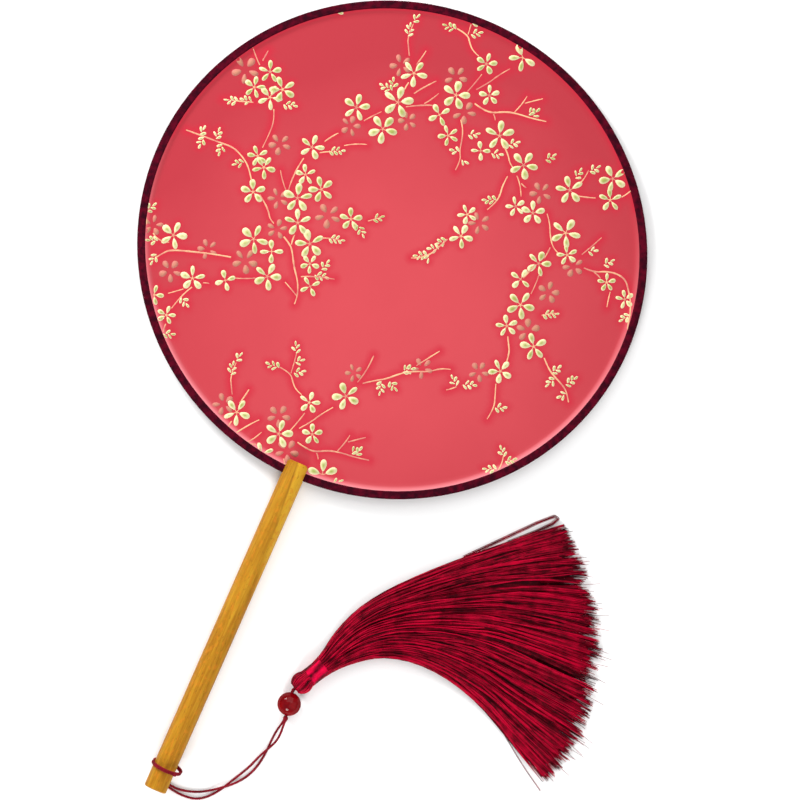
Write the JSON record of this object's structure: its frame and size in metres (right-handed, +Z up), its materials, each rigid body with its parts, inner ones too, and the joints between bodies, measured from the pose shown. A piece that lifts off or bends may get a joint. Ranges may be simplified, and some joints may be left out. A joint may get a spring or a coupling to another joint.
{
  "type": "round silk hand fan with tassel",
  "caption": "Round rigid hand fan: printed silk leaf on a bound hoop, turned wooden handle slotted onto the rim, and a beaded thread tassel on a looped cord.",
  "frame": {"origin": "centre of the bottom of the fan's own box (handle, face and cord loop, without the free cord and tassel), on the surface the fan lies on", "axes": "+Y along the handle towards the far rim, +X across the face, +Z up from the surface, out of the printed front"},
  "size_m": [0.3077, 0.4081, 0.0161],
  "materials": {
    "silk": "sheer coral silk with a cream and gold print",
    "binding": "dark burgundy velvet tape",
    "bamboo": "plain bent bamboo",
    "handle_wood": "honey-yellow polished wood",
    "cord": "fine dark red twisted cord",
    "bead": "glossy dark red",
    "thread": "dark red viscose threads",
    "satin": "bright crimson satin thread"
  },
  "bodies": {
    "fan": {"hoop": "bamboo", "silk_leaf": "silk", "rim_binding": "binding", "handle": "handle_wood"},
    "loop": {"cord_loop": "cord", "slip_knot": "cord"},
    "cord": {"strand_a": "cord", "strand_b": "cord", "end_knot": "cord", "bead_cord": "cord"},
    "bead": {"bead": "bead"},
    "tassel": {"tassel_cord": "cord", "tassel_head": "thread", "neck_band": "satin", "tassel_skirt": "thread"}
  },
  "joints": [
    {"name": "loop_turn", "type": "hinge", "parent": "fan", "child": "loop", "pos_m": [0, -0.19192, 0.00828], "axis": [0, 0.9999, -0.0164], "continuous": true},
    {"name": "cord_swing", "type": "hinge", "parent": "loop", "child": "cord", "pos_m": [0.0015, -0.1908, 0.00125], "axis": [0, 0, 1], "range_deg": [-150, 0]},
    {"name": "bead_spin", "type": "hinge", "parent": "cord", "child": "bead", "pos_m": [0.0431, -0.1398, 0.00575], "axis": [-0.1577, 0.9875, 0], "continuous": true},
    {"name": "tassel_swing", "type": "hinge", "parent": "cord", "child": "tassel", "pos_m": [0.04211, -0.13358, 0.00575], "axis": [0, 0, 1], "range_deg": [-18, 8]}
  ]
}
